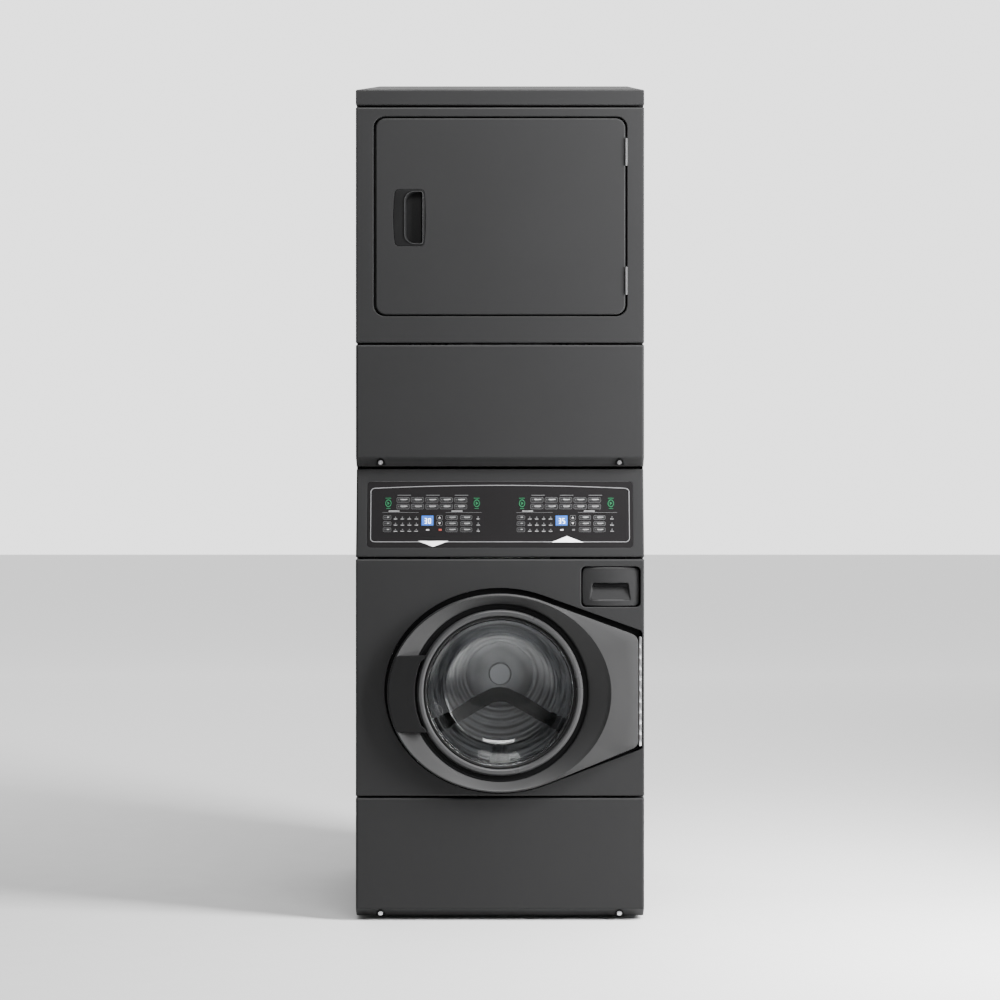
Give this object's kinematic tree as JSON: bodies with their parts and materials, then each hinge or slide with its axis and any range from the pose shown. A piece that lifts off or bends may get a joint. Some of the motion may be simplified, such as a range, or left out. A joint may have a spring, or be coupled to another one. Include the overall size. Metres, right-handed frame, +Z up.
{
  "type": "washer dryer stack",
  "caption": "Stacked laundry machine: front-load washer with round glass door below, control panel in the middle, dryer with flush square door above.",
  "frame": {"origin": "centre of the footprint on the floor, under the feet", "axes": "+Z up, the doors face -Y, +X to the right seen from the front"},
  "size_m": [0.683, 0.705, 1.984],
  "materials": {
    "panel_paint": "fine textured matte paint",
    "door_plastic": "satin moulded plastic",
    "black_plastic": "fine grain",
    "ring_plastic": "satin",
    "overlay_gloss": "gloss",
    "display_window": "lit window",
    "inner_white_paint": "satin paint",
    "bare_steel": "brushed",
    "galvanised_sheet": "spangled zinc",
    "drum_steel": "brushed round the axis",
    "pulley_metal": "cast",
    "door_glass": "clear",
    "gasket_rubber": "matte",
    "seal_felt": "felt",
    "foot_rubber": "matte",
    "tub_plastic": "moulded",
    "light_plastic": "moulded",
    "weight_concrete": "cast concrete look",
    "motor_paint": "enamel",
    "board_green": "lacquered board"
  },
  "bodies": {
    "cabinet": {"washer_base_frame": "galvanised_sheet", "washer_cabinet": "panel_paint", "washer_rear_cover": "galvanised_sheet", "washer_lower_panel": "panel_paint", "washer_screw_left": "bare_steel", "washer_screw_right": "bare_steel", "washer_front_panel": "panel_paint", "washer_door_hinge": "bare_steel", "washer_door_lock": "black_plastic", "dispenser_housing": "light_plastic", "door_gasket": "gasket_rubber", "outer_tub": "tub_plastic", "counterweight": "weight_concrete", "washer_motor": "motor_paint", "water_inlet_valve": "light_plastic", "control_housing": "panel_paint", "control_overlay": "overlay_gloss", "washer_display": "display_window", "dryer_display": "display_window", "control_board": "board_green", "dryer_base_frame": "galvanised_sheet", "dryer_cabinet": "panel_paint", "dryer_rear_cover": "galvanised_sheet", "dryer_lower_panel": "panel_paint", "dryer_screw_left": "bare_steel", "dryer_screw_right": "bare_steel", "dryer_front_panel": "panel_paint", "dryer_top_cover": "panel_paint", "dryer_door_catch": "light_plastic", "dryer_front_bulkhead": "galvanised_sheet", "dryer_rear_bulkhead": "galvanised_sheet", "lint_duct": "galvanised_sheet", "blower_housing": "galvanised_sheet", "dryer_motor": "motor_paint", "exhaust_duct": "galvanised_sheet", "heater_box": "galvanised_sheet"},
    "washer_door": {"washer_door_frame": "door_plastic", "washer_door_handle": "black_plastic", "washer_door_trim": "ring_plastic", "washer_door_glass": "door_glass", "washer_door_back_ring": "black_plastic", "washer_door_strike": "bare_steel"},
    "dispenser_drawer": {"dispenser_drawer": "panel_paint"},
    "dryer_door": {"dryer_door_outer": "panel_paint", "dryer_door_inner": "inner_white_paint", "dryer_door_handle": "black_plastic", "dryer_door_seal": "seal_felt", "dryer_door_strike": "bare_steel", "dryer_door_hinge_upper": "bare_steel", "dryer_door_hinge_lower": "bare_steel"},
    "washer_drum": {"washer_drum": "drum_steel", "drum_pulley": "pulley_metal"},
    "motor_pulley": {"motor_pulley": "pulley_metal"},
    "dryer_drum": {"dryer_drum": "drum_steel"},
    "blower_wheel": {"blower_wheel": "light_plastic"},
    "lint_filter": {"lint_filter": "light_plastic"},
    "levelling_leg_front_left": {"levelling_leg_front_left": "foot_rubber"},
    "levelling_leg_front_right": {"levelling_leg_front_right": "foot_rubber"},
    "levelling_leg_rear_left": {"levelling_leg_rear_left": "foot_rubber"},
    "levelling_leg_rear_right": {"levelling_leg_rear_right": "foot_rubber"}
  },
  "joints": [
    {"name": "washer_door_hinge", "type": "hinge", "parent": "cabinet", "child": "washer_door", "pos_m": [0.331, -0.3345, 0.541], "axis": [0, 0, 1], "range_deg": [0, 155]},
    {"name": "dryer_door_hinge", "type": "hinge", "parent": "cabinet", "child": "dryer_door", "pos_m": [0.299, -0.3265, 1.6675], "axis": [0, 0, 1], "range_deg": [0, 165]},
    {"name": "dispenser_drawer_slide", "type": "slide", "parent": "cabinet", "child": "dispenser_drawer", "axis": [0, -1, 0], "range_m": [0, 0.15]},
    {"name": "washer_drum_spin", "type": "hinge", "parent": "cabinet", "child": "washer_drum", "pos_m": [0, 0, 0.54], "axis": [0, 1, 0], "continuous": true},
    {"name": "washer_motor_spin", "type": "hinge", "parent": "cabinet", "child": "motor_pulley", "pos_m": [0, 0, 0.165], "axis": [0, 1, 0], "continuous": true},
    {"name": "dryer_drum_spin", "type": "hinge", "parent": "cabinet", "child": "dryer_drum", "pos_m": [0, 0, 1.6], "axis": [0, 1, 0], "continuous": true},
    {"name": "blower_spin", "type": "hinge", "parent": "cabinet", "child": "blower_wheel", "pos_m": [0.15, 0, 1.19], "axis": [0, 1, 0], "continuous": true},
    {"name": "lint_filter_lift", "type": "slide", "parent": "cabinet", "child": "lint_filter", "axis": [0, 0, 1], "range_m": [0, 0.15]},
    {"name": "levelling_leg_front_left_screw", "type": "slide", "parent": "cabinet", "child": "levelling_leg_front_left", "axis": [0, 0, -1], "range_m": [0, 0.02]},
    {"name": "levelling_leg_front_right_screw", "type": "slide", "parent": "cabinet", "child": "levelling_leg_front_right", "axis": [0, 0, -1], "range_m": [0, 0.02]},
    {"name": "levelling_leg_rear_left_screw", "type": "slide", "parent": "cabinet", "child": "levelling_leg_rear_left", "axis": [0, 0, -1], "range_m": [0, 0.02]},
    {"name": "levelling_leg_rear_right_screw", "type": "slide", "parent": "cabinet", "child": "levelling_leg_rear_right", "axis": [0, 0, -1], "range_m": [0, 0.02]}
  ],
  "couplings": [
    {"joint": "washer_motor_spin", "follows": "washer_drum_spin", "ratio": 4.2857},
    {"joint": "blower_spin", "follows": "dryer_drum_spin", "ratio": 31.8}
  ]
}
